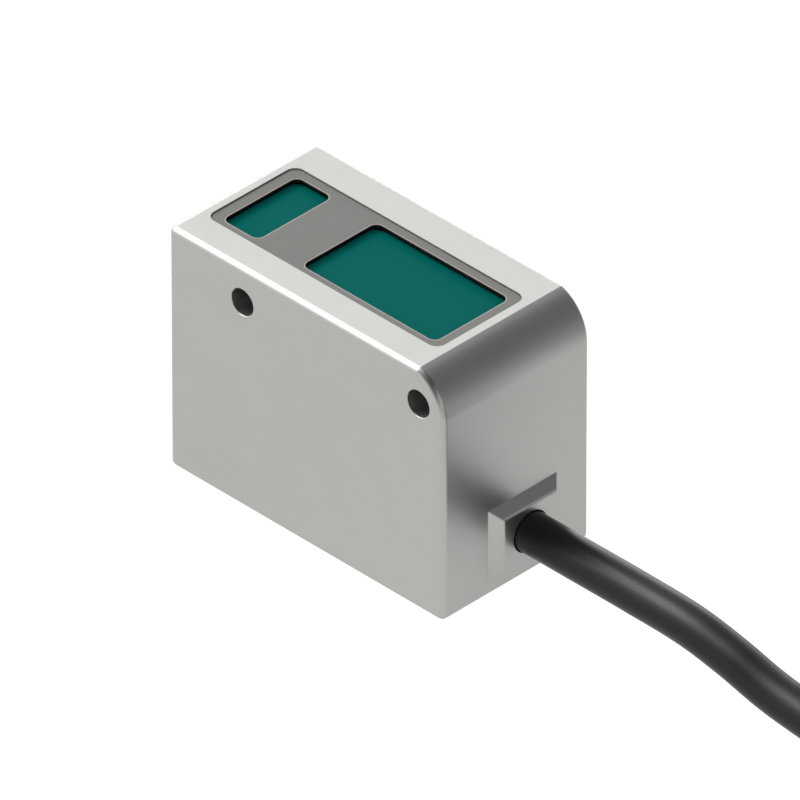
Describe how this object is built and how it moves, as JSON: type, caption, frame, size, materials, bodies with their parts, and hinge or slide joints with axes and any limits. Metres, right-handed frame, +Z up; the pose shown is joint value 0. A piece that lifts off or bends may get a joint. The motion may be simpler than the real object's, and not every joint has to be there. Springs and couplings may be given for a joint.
{
  "type": "laser displacement sensor",
  "caption": "Compact laser distance sensor: cast metal box with two windows on top, two mounting bores and a cable put up in a hank.",
  "frame": {"origin": "centre of the housing's base face, on the surface that the sensor stands on", "axes": "+X towards the cable end, +Y towards the rear cover, +Z up, out of the windows"},
  "size_m": [0.1749, 0.0577, 0.0332],
  "materials": {
    "cast_housing": "satin coated die casting",
    "bezel_grey": "fine matt",
    "window_teal": "polished filter sheet",
    "black_rubber": "moulded",
    "stainless_steel": "machined",
    "brass": "turned",
    "black_anodised": "black anodised",
    "lens_glass": "polished and coated",
    "circuit_board": "solder resist",
    "chip_resin": "moulded resin",
    "ferrite": "pressed ferrite",
    "socket_plastic": "moulded",
    "amber_film": "polyimide film",
    "sensor_glass": "glass-faced chip",
    "cable_jacket": "extruded, satin",
    "strap_black": "hook and loop",
    "lead_brown": "extruded",
    "lead_white": "extruded",
    "lead_blue": "extruded",
    "lead_black": "extruded",
    "lead_grey": "extruded"
  },
  "bodies": {
    "root": {"housing": "cast_housing", "rear_cover": "cast_housing", "cover_gasket": "black_rubber", "window_bezel": "bezel_grey", "emitter_window": "window_teal", "receiver_window": "window_teal", "emitter_window_seal": "black_rubber", "receiver_window_seal": "black_rubber", "optical_bench": "black_anodised", "laser_barrel": "brass", "laser_diode": "stainless_steel", "collimating_lens": "lens_glass", "collimator_lock_ring": "brass", "receiving_lens": "lens_glass", "receiving_lens_ring": "black_anodised", "image_sensor": "sensor_glass", "sensor_board": "circuit_board", "main_board": "circuit_board", "processor_chip": "chip_resin", "laser_driver_chip": "chip_resin", "signal_converter_chip": "chip_resin", "power_inductor": "ferrite", "supply_capacitor_1": "chip_resin", "supply_capacitor_2": "chip_resin", "lead_socket": "socket_plastic", "sensor_flat_cable": "amber_film", "cable_seal": "black_rubber", "cable_ferrule": "stainless_steel", "cable": "cable_jacket", "cable_hank": "cable_jacket", "cable_tail": "cable_jacket", "hank_tie": "strap_black", "cover_screw_1": "stainless_steel", "cover_screw_2": "stainless_steel", "cover_screw_3": "stainless_steel", "cover_screw_4": "stainless_steel", "bench_screw_1": "stainless_steel", "bench_screw_2": "stainless_steel", "board_screw_1": "stainless_steel", "board_screw_2": "stainless_steel", "board_screw_3": "stainless_steel", "inner_lead_brown": "lead_brown", "flying_lead_brown": "lead_brown", "inner_lead_white": "lead_white", "flying_lead_white": "lead_white", "inner_lead_blue": "lead_blue", "flying_lead_blue": "lead_blue", "inner_lead_black": "lead_black", "flying_lead_black": "lead_black", "inner_lead_grey": "lead_grey", "flying_lead_grey": "lead_grey"}
  },
  "joints": []
}
